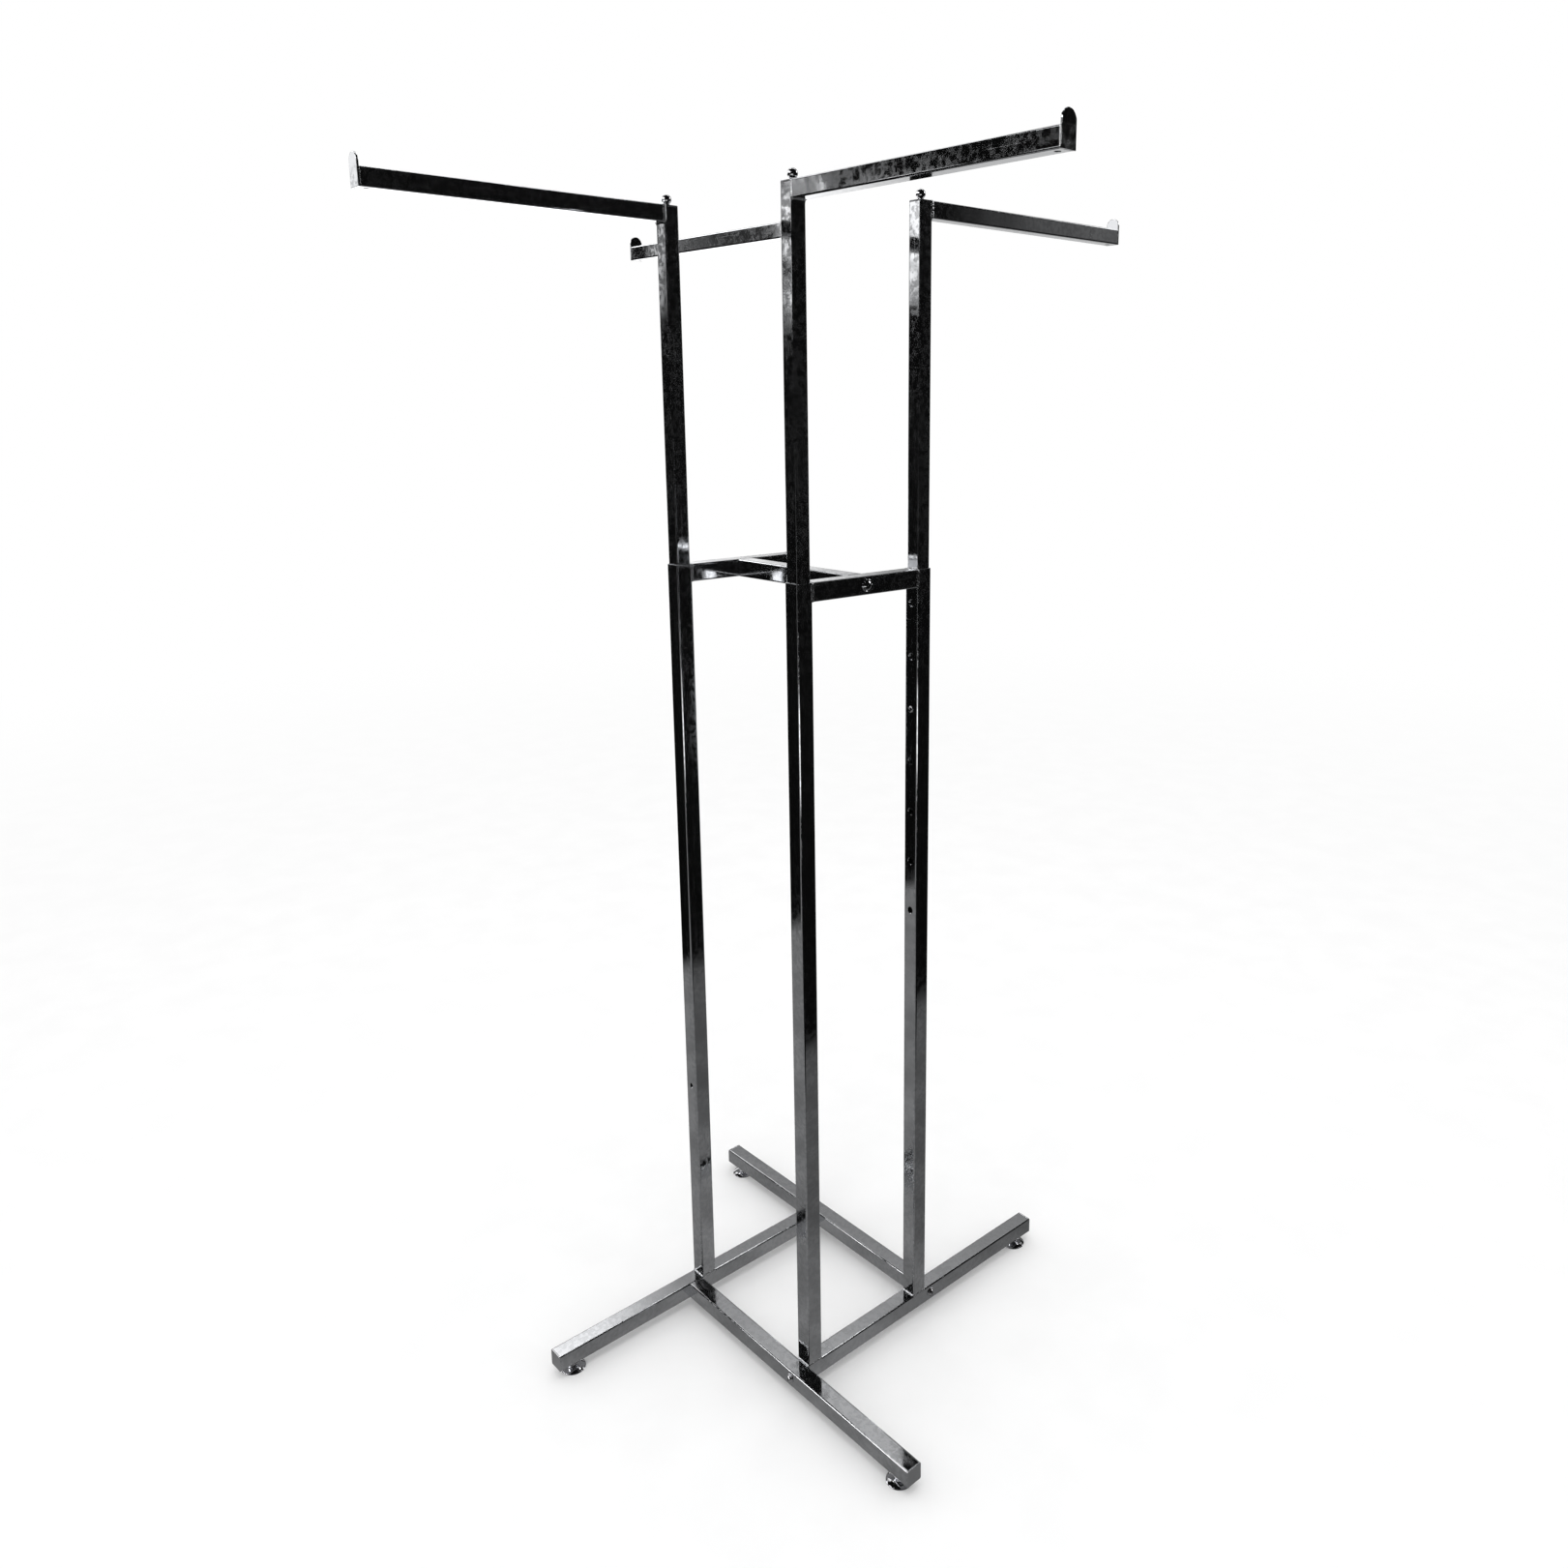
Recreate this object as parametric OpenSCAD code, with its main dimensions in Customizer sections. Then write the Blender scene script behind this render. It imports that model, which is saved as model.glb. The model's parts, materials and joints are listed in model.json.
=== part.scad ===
// Four way clothing rack: a knock-down pinwheel base, four posts in two welded end frames joined
// by a crossbar, and four straight arms that telescope in the posts and lock with snap buttons.
// The origin is on the floor under the middle of the base; the arms of A, B, C and D point
// along -Y, +X, +Y and -X. Millimetres.

/* [Base] */
// Overall width of the base, from one leg end to the opposite one
base_span = 756; // [640:2:860]
// Outer side of the square that the four base tubes make around the posts
frame_side = 292; // [240:2:340]
// Height of the base tubes' undersides above the floor
foot_gap = 14; // [13.5:0.5:16]
// Distance from a leg's end to the centre of its foot
foot_inset = 28; // [24:1:40]
// Radius of the round foot pad
pad_r = 18.5; // [16:0.5:22]

/* [Tubes] */
// Side of the square tube of the base, posts and rails
tube_w = 25.4; // [25.4:0.1:28]
// Wall of that tube
tube_wall = 1.2; // [1:0.1:1.4]
// Side of the square tube of the uprights and arms that slide in the posts
upper_w = 22; // [20:0.1:22.2]
// Wall of that tube
upper_wall = 1.2; // [1:0.1:1.4]

/* [Posts] */
// Height of the post tops above the floor
post_top_z = 1194; // [1150:1:1250]
// Spacing of the height holes
hole_pitch = 76.2; // [60:0.1:80]
// Number of height holes in each post
hole_count = 7; // [5:1:8]
// Distance from the post's top to the highest hole
top_hole_drop = 48; // [35:1:60]
// Which hole, counted from the top, the snap button is in
set_hole = 3; // [1:1:5]
// Height of the small drain hole in posts A and C
drain_z = 376; // [200:1:500]

/* [Arms] */
// Height of the arms' top faces above the floor, at the set hole
arm_top_z = 1676.4; // [1640:0.1:1720]
// Reach of an arm, from the middle of its post to its tip
arm_reach = 417; // [300:1:450]
// Thickness of the upturned plate on an arm's end
blade_t = 2.5; // [2:0.1:4]
// Rise of that plate above the arm's top face
blade_rise = 16; // [12:0.5:24]
// Diameter of the ball on top of each upright
ball_d = 13; // [10:0.5:16]

/* [Snap buttons] */
// Diameter of a button's nose
button_d = 9; // [7:0.1:9.5]
// How far a button stands out of the post's face
button_proud = 2; // [1:0.1:3]
// Length of upright below the button
upper_tail = 50; // [45:1:70]

/* [Fasteners] */
// Diameter of the bolts that hold the base tubes together
base_bolt_d = 6; // [5:0.5:8]
// Diameter of the two bolts in the ends of the crossbar
bar_bolt_d = 8; // [6:0.5:10]
// Diameter of the feet's threaded stems
stem_d = 8; // [6:0.5:8]

/* [Hidden] */
$fn = 48;

// The four corners of the rack, in the order of their arms' headings
A = 0;
B = 1;
C = 2;
D = 3;

chrome = [0.78, 0.79, 0.81];
zinc = [0.7, 0.7, 0.68];
spring_steel = [0.45, 0.47, 0.5];

tube_corner = 2.4;
upper_corner = 2;
fit_gap = 0.1;      // between parts that touch but move apart
through = 1;        // how far a cutting tool runs past what it cuts
thread_gap = 0.08;  // radial clearance of a screw in its nut
bolt_gap = 0.3;     // radial clearance of a bolt in a drilled wall
drain_d = 7;

leg_end = base_span / 2;
leg_line = frame_side / 2 - tube_w / 2;    // from the rack's middle to a base tube's centre line
leg_start = frame_side / 2 - tube_w;       // where a base tube meets the one that passes it
post_x = leg_line;
post_y = frame_side / 2 - 1.5 * tube_w;
base_top_z = foot_gap + tube_w;
base_mid_z = foot_gap + tube_w / 2;
rail_z = post_top_z - tube_w / 2;
rail_len = 2 * post_y - tube_w;
bar_len = 2 * post_x - tube_w;
cap_t = 1.5;

top_hole_z = post_top_z - top_hole_drop;
button_z = top_hole_z - (set_hole - 1) * hole_pitch;
upright_z = button_z - upper_tail;
arm_mid_z = arm_top_z - upper_w / 2;
arm_end = arm_reach - blade_t;
lid_t = 2;
neck_h = 2;
stud_d = 5;

nut_t = 3;
bolt_tail = 5;      // how far a bolt runs on past its nut plate
base_head_d = 14;
base_head_h = 4.5;
bar_head_d = 17.5;
bar_head_h = 4;

foot_nut_w = 13;
foot_nut_h = 6.5;
pad_h = 9.5;
pad_edge = 1.5;
pad_neck_r = 6.5;
socket_z = 3;
stem_head_r = 6;
stem_head_h = 2.8;
stem_top_gap = 2;   // between the stem's top and the roof of its tube
shoulder_w = 12;

inner_face = upper_w / 2 - upper_wall;
flange_t = 1;
flange_r = button_d / 2 + 1.5;
flange_x = inner_face - fit_gap - flange_t;
nose_x = tube_w / 2 + button_proud;
nose_round = 1.5;
upright_hole_d = button_d + 0.4;
post_hole_d = button_d + 0.8;

function heading(corner) = 90 * (corner - 1);
function post_pos(corner) = [
    (corner == B || corner == C) ? post_x : -post_x,
    (corner == C || corner == D) ? post_y : -post_y,
    0
];
// The height holes face the other post of the same welded frame
function hole_facing(corner) = (corner == A || corner == B) ? 90 : -90;

// ---- shared shapes ----

module rounded_square(side, corner) {
    square([side - 2 * corner, side], center = true);
    square([side, side - 2 * corner], center = true);
    for (x = [-1, 1], y = [-1, 1])
        translate([x, y] * (side / 2 - corner))
            circle(corner);
}

module tube_section(side, wall, corner) {
    difference() {
        rounded_square(side, corner);
        rounded_square(side - 2 * wall, corner - wall);
    }
}

// A square tube that starts at the origin and runs along +X
module tube_along_x(length, side, wall, corner) {
    rotate([90, 0, 90])
        linear_extrude(length)
            tube_section(side, wall, corner);
}

// A square plate that starts at the origin and fills a tube's outline, along +X
module end_plate(thickness, side, corner) {
    rotate([90, 0, 90])
        linear_extrude(thickness)
            rounded_square(side, corner);
}

// A straight hole or bar along +X, from x0 to x1
module bar_along_x(x0, x1, diameter) {
    translate([x0, 0, 0])
        rotate([0, 90, 0])
            cylinder(h = x1 - x0, d = diameter);
}

// Puts its child at a base tube: along +X, with the tube's centre line on y = -leg_line
module at_leg(corner) {
    rotate(heading(corner))
        translate([0, -leg_line, base_mid_z])
            children();
}

module at_post(corner) {
    translate(post_pos(corner))
        children();
}

module at_foot(corner) {
    rotate(heading(corner))
        translate([leg_end - foot_inset, -leg_line, 0])
            children();
}

// A round-headed bolt: the head's flat face is at the origin and the shank runs along +X
module round_head_bolt(diameter, shank, head_d, head_h) {
    bar_along_x(0, shank, diameter);
    dome_r = (head_d * head_d / 4 + head_h * head_h) / (2 * head_h);
    rotate([0, -90, 0])
        rotate_extrude()
            intersection() {
                translate([0, head_h - dome_r])
                    circle(dome_r);
                square([head_d / 2, head_h]);
            }
}

// A square nut plate that fits inside a tube's end, with its bore along X from the origin
module nut_plate(side, bolt_d) {
    difference() {
        end_plate(nut_t, side, tube_corner - tube_wall);
        bar_along_x(-through, nut_t + through, bolt_d + 2 * thread_gap);
    }
}

// ---- base ----

module base_tube(corner) {
    color(chrome)
        at_leg(corner)
            difference() {
                translate([-leg_start, 0, 0])
                    tube_along_x(leg_end + leg_start - cap_t, tube_w, tube_wall, tube_corner);
                translate([leg_line, 0, 0])
                    rotate(90)
                        bar_along_x(-tube_w, tube_w, base_bolt_d + 2 * bolt_gap);
                translate([leg_end - foot_inset, 0, -tube_w / 2 - through])
                    cylinder(h = tube_wall + 2 * through, d = stem_d + 2 * bolt_gap);
            }
}

module leg_end_cap(corner) {
    color(chrome)
        at_leg(corner)
            translate([leg_end - cap_t, 0, 0])
                end_plate(cap_t, tube_w, tube_corner);
}

// Each bolt goes through one base tube and into the end of the next one round
module base_bolts() {
    color(zinc)
        for (corner = [A, B, C, D])
            at_leg(corner)
                translate([leg_line, -tube_w / 2, 0])
                    rotate(90)
                        round_head_bolt(base_bolt_d, tube_w + nut_t + bolt_tail, base_head_d, base_head_h);
}

module base_end_nuts() {
    color(zinc)
        for (corner = [A, B, C, D])
            at_leg(corner)
                translate([-leg_start, 0, 0])
                    nut_plate(tube_w - 2 * tube_wall, base_bolt_d);
}

// ---- feet ----

module foot_nuts() {
    color(zinc)
        for (corner = [A, B, C, D])
            at_foot(corner)
                translate([0, 0, foot_gap + tube_wall])
                    difference() {
                        translate([-foot_nut_w / 2, -foot_nut_w / 2, 0])
                            cube([foot_nut_w, foot_nut_w, foot_nut_h]);
                        translate([0, 0, -through])
                            cylinder(h = foot_nut_h + 2 * through, d = stem_d + 2 * thread_gap);
                    }
}

// The pad's dome is part of a sphere through its rim and its neck
module foot_pad(corner) {
    centre_z = (pad_r * pad_r + pad_edge * pad_edge - pad_neck_r * pad_neck_r - pad_h * pad_h)
        / (2 * (pad_edge - pad_h));
    dome_r = norm([pad_neck_r, pad_h - centre_z]);
    color(chrome)
        at_foot(corner)
            difference() {
                rotate_extrude() {
                    square([pad_r, pad_edge]);
                    intersection() {
                        translate([0, centre_z])
                            circle(dome_r);
                        square([pad_r, pad_h]);
                    }
                }
                translate([0, 0, socket_z])
                    cylinder(h = stem_head_h + 2 * fit_gap, r = stem_head_r + fit_gap);
                translate([0, 0, socket_z])
                    cylinder(h = pad_h, d = stem_d + 2 * fit_gap);
            }
}

// A stem with a round head caught in the pad and a hexagon shoulder under the tube
module foot_stem(corner) {
    shoulder_z = pad_h + fit_gap;
    color(zinc)
        at_foot(corner) {
            translate([0, 0, socket_z + fit_gap])
                cylinder(h = stem_head_h, r = stem_head_r);
            translate([0, 0, socket_z + fit_gap])
                cylinder(h = base_top_z - tube_wall - stem_top_gap - socket_z, d = stem_d);
            translate([0, 0, shoulder_z])
                cylinder(h = foot_gap - fit_gap - shoulder_z, d = shoulder_w, $fn = 6);
        }
}

// ---- posts and rails ----

module post(corner) {
    color(chrome)
        at_post(corner)
            difference() {
                translate([0, 0, base_top_z])
                    linear_extrude(post_top_z - base_top_z)
                        tube_section(tube_w, tube_wall, tube_corner);
                for (i = [0 : hole_count - 1])
                    translate([0, 0, top_hole_z - i * hole_pitch])
                        rotate(hole_facing(corner))
                            bar_along_x(0, tube_w, post_hole_d);
                if (corner == A || corner == C)
                    translate([0, 0, drain_z])
                        rotate(heading(corner))
                            bar_along_x(0, tube_w, drain_d);
            }
}

// A rail between the two posts of one end frame, drilled for the crossbar's bolt
module mid_rail(side) {
    color(chrome)
        difference() {
            translate([side * post_x, -rail_len / 2, rail_z])
                rotate(90)
                    tube_along_x(rail_len, tube_w, tube_wall, tube_corner);
            translate([side * post_x, 0, rail_z])
                bar_along_x(-tube_w, tube_w, bar_bolt_d + 2 * bolt_gap);
        }
}

module crossbar() {
    color(chrome)
        translate([-bar_len / 2, 0, rail_z])
            tube_along_x(bar_len, tube_w, tube_wall, tube_corner);
}

module crossbar_bolts() {
    color(chrome)
        for (turn = [0, 180])
            rotate(turn)
                translate([post_x + tube_w / 2, 0, rail_z])
                    rotate(180)
                        round_head_bolt(bar_bolt_d, tube_w + nut_t + bolt_tail, bar_head_d, bar_head_h);
}

module crossbar_end_nuts() {
    color(zinc)
        for (turn = [0, 180])
            rotate(turn)
                translate([bar_len / 2 - nut_t, 0, rail_z])
                    nut_plate(tube_w - 2 * tube_wall, bar_bolt_d);
}

// ---- uprights and arms ----

module upright(corner) {
    color(chrome)
        at_post(corner)
            difference() {
                translate([0, 0, upright_z])
                    linear_extrude(arm_top_z - lid_t - upright_z)
                        tube_section(upper_w, upper_wall, upper_corner);
                translate([0, 0, button_z])
                    rotate(hole_facing(corner))
                        bar_along_x(0, upper_w, upright_hole_d);
            }
}

module arm(corner) {
    drain_inset = 11;
    color(chrome)
        at_post(corner)
            translate([0, 0, arm_mid_z])
                rotate(heading(corner))
                    difference() {
                        translate([upper_w / 2, 0, 0])
                            tube_along_x(arm_end - upper_w / 2, upper_w, upper_wall, upper_corner);
                        translate([arm_end - drain_inset, 0, -upper_w])
                            cylinder(h = upper_w, d = drain_d);
                    }
}

// The plate covers the arm's end and rises above it to a round top
module arm_end_blade(corner) {
    color(chrome)
        at_post(corner)
            rotate(heading(corner))
                translate([arm_end, 0, arm_top_z])
                    rotate([90, 0, 90])
                        linear_extrude(blade_t) {
                            translate([-upper_w / 2, -upper_w])
                                square([upper_w, upper_w + blade_rise - upper_w / 2]);
                            translate([0, blade_rise - upper_w / 2])
                                circle(upper_w / 2);
                        }
}

module top_cap(corner) {
    color(chrome)
        at_post(corner)
            translate([0, 0, arm_top_z - lid_t])
                difference() {
                    linear_extrude(lid_t)
                        rounded_square(upper_w, upper_corner);
                    translate([0, 0, -through])
                        cylinder(h = lid_t + 2 * through, d = stud_d + 2 * thread_gap);
                }
}

module ball_finial(corner) {
    neck_d = 9;
    stud_h = 6;
    ball_sink = 0.5;
    color(chrome)
        at_post(corner)
            translate([0, 0, arm_top_z]) {
                translate([0, 0, -stud_h])
                    cylinder(h = stud_h + neck_h, d = stud_d);
                cylinder(h = neck_h + 2 * ball_sink, d = neck_d);
                translate([0, 0, neck_h + ball_d / 2 - ball_sink])
                    sphere(d = ball_d);
            }
}

// ---- snap buttons ----

// Puts its child in an upright at the button's height, with the button facing +X
module at_button(corner) {
    at_post(corner)
        translate([0, 0, button_z])
            rotate(hole_facing(corner))
                children();
}

module snap_button(corner) {
    nose_r = button_d / 2;
    color(chrome)
        at_button(corner)
            rotate([0, 90, 0])
                rotate_extrude() {
                    translate([0, flange_x])
                        square([flange_r, flange_t]);
                    translate([0, flange_x])
                        square([nose_r, nose_x - nose_round - flange_x]);
                    translate([0, flange_x])
                        square([nose_r - nose_round, nose_x - flange_x]);
                    translate([nose_r - nose_round, nose_x - nose_round])
                        circle(nose_round);
                }
}

// A U of flat spring strip: the front leg backs the button, the back leg bears on the far wall
module button_spring(corner) {
    strip_t = 0.8;
    strip_w = 8;
    leg_above = 6;
    leg_below = 28;
    front = flange_x - fit_gap;
    back = -(inner_face - fit_gap);
    bend_r = (front - back) / 2;
    color(spring_steel)
        at_button(corner)
            rotate([90, 0, 0])
                translate([0, 0, -strip_w / 2])
                    linear_extrude(strip_w) {
                        for (x = [back, front - strip_t])
                            translate([x, -leg_below])
                                square([strip_t, leg_below + leg_above]);
                        translate([(front + back) / 2, -leg_below])
                            difference() {
                                circle(bend_r);
                                circle(bend_r - strip_t);
                                translate([-bend_r, 0])
                                    square(2 * bend_r);
                            }
                    }
}

base_tube(A);  // base_tube_a
base_tube(B);  // base_tube_b
base_tube(C);  // base_tube_c
base_tube(D);  // base_tube_d
leg_end_cap(A);  // leg_end_cap_a
leg_end_cap(B);  // leg_end_cap_b
leg_end_cap(C);  // leg_end_cap_c
leg_end_cap(D);  // leg_end_cap_d
base_bolts();
base_end_nuts();
foot_nuts();
foot_pad(A);  // foot_pad_a
foot_pad(B);  // foot_pad_b
foot_pad(C);  // foot_pad_c
foot_pad(D);  // foot_pad_d
foot_stem(A);  // foot_stem_a
foot_stem(B);  // foot_stem_b
foot_stem(C);  // foot_stem_c
foot_stem(D);  // foot_stem_d
post(A);  // post_a
post(B);  // post_b
post(C);  // post_c
post(D);  // post_d
mid_rail(1);  // mid_rail_bc
mid_rail(-1);  // mid_rail_da
crossbar();
crossbar_bolts();
crossbar_end_nuts();
upright(A);  // upright_a
upright(B);  // upright_b
upright(C);  // upright_c
upright(D);  // upright_d
arm(A);  // arm_a
arm(B);  // arm_b
arm(C);  // arm_c
arm(D);  // arm_d
arm_end_blade(A);  // arm_end_blade_a
arm_end_blade(B);  // arm_end_blade_b
arm_end_blade(C);  // arm_end_blade_c
arm_end_blade(D);  // arm_end_blade_d
top_cap(A);  // top_cap_a
top_cap(B);  // top_cap_b
top_cap(C);  // top_cap_c
top_cap(D);  // top_cap_d
ball_finial(A);  // ball_finial_a
ball_finial(B);  // ball_finial_b
ball_finial(C);  // ball_finial_c
ball_finial(D);  // ball_finial_d
snap_button(A);  // snap_button_a
snap_button(B);  // snap_button_b
snap_button(C);  // snap_button_c
snap_button(D);  // snap_button_d
button_spring(A);  // button_spring_a
button_spring(B);  // button_spring_b
button_spring(C);  // button_spring_c
button_spring(D);  // button_spring_d
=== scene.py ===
"""The looks of the four way clothing rack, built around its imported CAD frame. Metres, +Z up."""
import json
import math
import random

import bpy
from mathutils import Matrix, Vector


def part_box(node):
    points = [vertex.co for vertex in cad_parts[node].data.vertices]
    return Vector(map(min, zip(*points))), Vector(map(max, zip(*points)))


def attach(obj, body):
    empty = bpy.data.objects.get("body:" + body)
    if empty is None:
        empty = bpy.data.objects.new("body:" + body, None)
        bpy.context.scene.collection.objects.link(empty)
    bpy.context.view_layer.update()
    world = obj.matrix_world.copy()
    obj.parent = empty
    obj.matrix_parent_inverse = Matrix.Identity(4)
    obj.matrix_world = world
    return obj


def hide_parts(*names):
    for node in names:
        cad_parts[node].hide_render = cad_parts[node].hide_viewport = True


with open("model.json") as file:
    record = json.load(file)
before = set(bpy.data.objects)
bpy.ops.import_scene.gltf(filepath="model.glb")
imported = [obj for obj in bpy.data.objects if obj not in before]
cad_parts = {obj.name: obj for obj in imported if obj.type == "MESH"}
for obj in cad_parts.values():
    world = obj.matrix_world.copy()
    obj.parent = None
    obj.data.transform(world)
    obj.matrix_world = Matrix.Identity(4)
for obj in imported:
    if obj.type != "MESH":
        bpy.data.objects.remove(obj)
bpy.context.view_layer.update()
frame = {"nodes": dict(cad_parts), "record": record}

# ---- camera: the photograph's angle ----
CAMERA_AT = (1.360, -1.1165, 1.415)
CAMERA_TURN = 46.71    # degrees from looking along +Y, towards -X
CAMERA_DIP = 12.70     # degrees below the horizon
CAMERA_LENS = 28.66
CAMERA_SHIFT = (-0.0627, -0.0621)


def add_camera():
    data = bpy.data.cameras.new("camera")
    data.lens = CAMERA_LENS
    data.sensor_width = 36.0
    data.shift_x, data.shift_y = CAMERA_SHIFT
    camera = bpy.data.objects.new("camera", data)
    camera.location = CAMERA_AT
    camera.rotation_euler = (math.radians(90 - CAMERA_DIP), 0, math.radians(CAMERA_TURN))
    bpy.context.scene.collection.objects.link(camera)
    bpy.context.scene.camera = camera


add_camera()

# ---- sizes, in metres, read from the CAD nodes where a node shows them ----
CORNERS = "abcd"
MM = 0.001
WALL = 1.2 * MM
TUBE_CORNER = 2.4 * MM
UPPER_CORNER = 2.0 * MM
RIM = 0.25 * MM        # edge broken on a sawn tube end or a stamped plate
HOLE_RIM = 0.5 * MM    # edge broken round a punched hole
DRAIN_R = 3.5 * MM
POST_DRAIN_Z = 376 * MM
ARM_DRAIN_INSET = 11 * MM
FOOT_HOLE_R = 4.3 * MM
PAD_NECK_R = 6.5 * MM
SOCKET_Z = 3 * MM
THREAD_PITCH = 1.25 * MM


def span(node):
    low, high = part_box(node)
    return high - low


def middle(node):
    low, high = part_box(node)
    return (low + high) / 2


TUBE = span("post_a").x
UPPER = span("upright_a").x
LEG_LINE = middle("post_b").x
POST_Y = middle("post_c").y
BASE_Z = middle("base_tube_a").z
BASE_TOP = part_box("base_tube_a")[1].z
FOOT_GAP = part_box("base_tube_a")[0].z
RAIL_Z = middle("crossbar").z
ARM_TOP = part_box("arm_a")[1].z
BUTTON_Z = middle("snap_button_a").z
JOINTS = {joint["name"]: joint for joint in frame["record"]["behaviour"]["joints"]}
HEIGHT_RANGE = JOINTS["arm_a_height"]["range_m"]
HOLES_DOWN = 7
HOLE_PITCH = (HEIGHT_RANGE[1] - HEIGHT_RANGE[0]) / (HOLES_DOWN - 1)
TOP_HOLE_Z = BUTTON_Z + HEIGHT_RANGE[1]
POST_HOLE_R = 4.9 * MM
UPRIGHT_HOLE_R = 4.7 * MM


def shift(x, y, z):
    return Matrix.Translation((x, y, z))


def spin(degrees, axis="Z"):
    return Matrix.Rotation(math.radians(degrees), 4, axis)


def heading(k):
    """Turns a shape drawn for a leg or arm along +X to the corner's own heading"""
    return spin(90 * (CORNERS.index(k) - 1))


def facing(k):
    """Turns +X to the side that the corner's height holes look to"""
    return spin(90 if k in "ab" else -90)


def post_at(k):
    return shift(LEG_LINE if k in "bc" else -LEG_LINE, POST_Y if k in "cd" else -POST_Y, 0)


# local Z becomes X, and local Y becomes Z
ALONG_X = Matrix(((0, 0, 1, 0), (1, 0, 0, 0), (0, 1, 0, 0), (0, 0, 0, 1)))


# ---- procedural materials ----
class Tree:
    """The node tree of a material or world, with short ways to add its nodes"""

    def __init__(self, owner):
        owner.use_nodes = True
        self.nodes, self.links = owner.node_tree.nodes, owner.node_tree.links
        self.nodes.clear()

    def add(self, kind, inputs=None, **settings):
        node = self.nodes.new(kind)
        for key, value in settings.items():
            setattr(node, key, value)
        for key, value in (inputs or {}).items():
            socket = node.inputs[key]
            if isinstance(value, bpy.types.NodeSocket):
                self.links.new(value, socket)
            else:
                socket.default_value = value
        return node

    def stretched(self, scale):
        coords = self.add("ShaderNodeTexCoord").outputs["Object"]
        return self.add("ShaderNodeMapping", {"Vector": coords, "Scale": scale}).outputs[0]

    def noise_at(self, vector, scale, detail=3.0, rough=0.5):
        node = self.add("ShaderNodeTexNoise", {"Vector": vector, "Scale": scale, "Detail": detail,
            "Roughness": rough})
        return node.outputs["Fac"]

    def noise(self, scale, detail=3.0, rough=0.5, stretch=(1, 1, 1)):
        return self.noise_at(self.stretched(stretch), scale, detail, rough)

    def parts(self, vector):
        """A vector's x, y and z"""
        return self.add("ShaderNodeSeparateXYZ", {"Vector": vector}).outputs

    def ramp(self, value, low, high, to_low=0.0, to_high=1.0):
        """A smooth step from to_low, at low and below, to to_high, at high and above"""
        node = self.add("ShaderNodeMapRange", {"Value": value, "From Min": low, "From Max": high,
            "To Min": to_low, "To Max": to_high}, interpolation_type="SMOOTHSTEP")
        return node.outputs[0]

    def between(self, value, low, high, soft):
        """1 from low to high, fading to 0 over soft on either side"""
        rising = self.ramp(value, low - soft, low)
        return self.maths("MULTIPLY", rising, self.ramp(value, high, high + soft, 1, 0))

    def maths(self, operation, a, b):
        return self.add("ShaderNodeMath", {0: a, 1: b}, operation=operation).outputs[0]

    def product(self, first, *others):
        for other in others:
            first = self.maths("MULTIPLY", first, other)
        return first

    def total(self, first, *others):
        for other in others:
            first = self.maths("ADD", first, other)
        return first

    def blend(self, factor, a, b):
        node = self.add("ShaderNodeMix", {"Factor": factor}, data_type="RGBA")
        for socket, value in ((node.inputs[6], a), (node.inputs[7], b)):
            if isinstance(value, bpy.types.NodeSocket):
                self.links.new(value, socket)
            else:
                socket.default_value = (*value, 1)
        return node.outputs[2]

    def metal(self, colour, rough, height, distance):
        bump = self.add("ShaderNodeBump", {"Height": height, "Distance": distance, "Strength": 1.0})
        shader = self.add("ShaderNodeBsdfPrincipled", {"Base Color": colour, "Roughness": rough,
            "Metallic": 1.0, "Normal": bump.outputs[0]})
        self.add("ShaderNodeOutputMaterial", {"Surface": shader.outputs[0]})


def chrome(name, bright, dull, gloss, wave, wave_size, seed):
    """Bright chrome plate: slow waves in the polish, cloudy smudges, hairline scratches and worn edges"""
    material = bpy.data.materials.new(name)
    t = Tree(material)
    clouds = t.noise(9 + seed, 4, 0.6)
    smudge = t.ramp(clouds, 0.52, 0.8)
    hairs = t.ramp(t.noise(260, 2, 0.7, (1, 1, 0.03)), 0.62, 0.7)
    cross_hairs = t.ramp(t.noise(240, 2, 0.7, (0.04, 0.04, 1)), 0.64, 0.72)
    scratches = t.maths("MAXIMUM", hairs, cross_hairs)
    edges = t.ramp(t.add("ShaderNodeNewGeometry").outputs["Pointiness"], 0.52, 0.6)
    worn = t.maths("MULTIPLY", edges, t.ramp(t.noise(140, 3), 0.4, 0.6))
    colour = t.blend(smudge, bright, dull)
    colour = t.blend(worn, colour, tuple(0.9 * c for c in dull))
    rough = t.ramp(smudge, 0, 1, gloss, gloss + 0.06)
    rough = t.maths("ADD", rough, t.maths("MULTIPLY", scratches, 0.07))
    rough = t.maths("ADD", rough, t.maths("MULTIPLY", worn, 0.12))
    slow = t.noise(wave_size, 1, 0.4)
    peel = t.maths("MULTIPLY", t.noise(420, 2), 0.006)
    height = t.maths("ADD", slow, peel)
    height = t.maths("SUBTRACT", height, t.maths("MULTIPLY", scratches, 0.002))
    t.metal(colour, rough, height, wave)
    return material


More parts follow.
